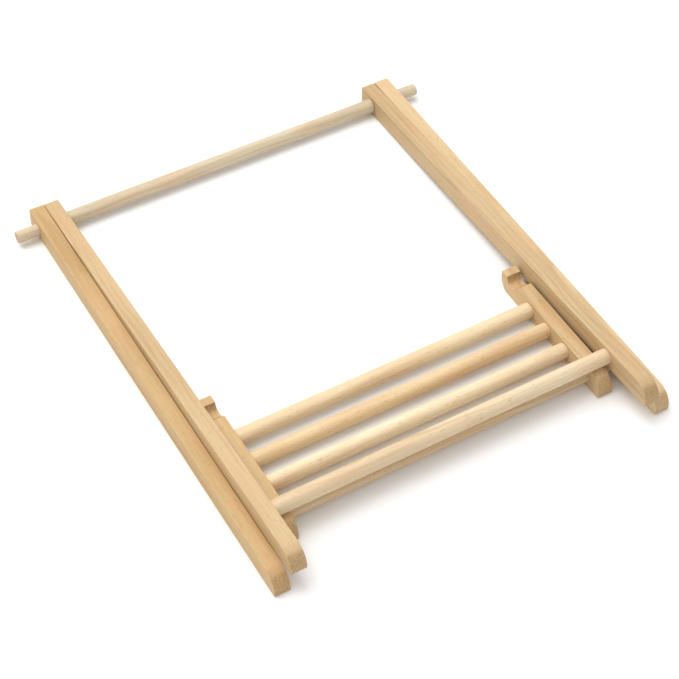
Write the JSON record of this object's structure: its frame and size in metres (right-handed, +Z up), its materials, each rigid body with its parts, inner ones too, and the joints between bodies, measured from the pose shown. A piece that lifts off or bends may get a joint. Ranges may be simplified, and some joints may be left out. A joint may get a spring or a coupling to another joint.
{
  "type": "folding frame loom",
  "caption": "Folding wooden A-frame of laths and dowels. The legs turn on the top rod, and a slatted shelf swings out and hooks over a cross dowel to hold the frame open.",
  "frame": {"origin": "middle of the footprint on the surface that the folded frame lies on, under the outer legs", "axes": "+X along the rods to the right, +Y along the legs towards their heads, +Z up out of the surface"},
  "size_m": [0.3, 0.3242, 0.0275],
  "materials": {
    "beech_lath": "planed and sanded beech, bare, grain along the lath",
    "beech_dowel": "turned beech dowel, sanded, bare, grain along the dowel"
  },
  "bodies": {
    "outer_frame": {"outer_leg_left": "beech_lath", "outer_leg_right": "beech_lath", "top_rod": "beech_dowel", "shelf_rod": "beech_dowel"},
    "inner_frame": {"inner_leg_left": "beech_lath", "inner_leg_right": "beech_lath", "catch_dowel": "beech_dowel"},
    "shelf": {"shelf_rail_left": "beech_lath", "shelf_rail_right": "beech_lath", "shelf_slat_1": "beech_dowel", "shelf_slat_2": "beech_dowel", "shelf_slat_3": "beech_dowel"}
  },
  "joints": [
    {"name": "frame_fold", "type": "hinge", "parent": "outer_frame", "child": "inner_frame", "pos_m": [0, 0.14885, 0.00675], "axis": [-1, 0, 0], "range_deg": [0, 14.3]},
    {"name": "shelf_swing", "type": "hinge", "parent": "outer_frame", "child": "shelf", "pos_m": [0, -0.11965, 0.00675], "axis": [1, 0, 0], "range_deg": [0, 78.5]}
  ],
  "couplings": [
    {"joint": "shelf_swing", "follows": "frame_fold", "ratio": 5.487}
  ]
}
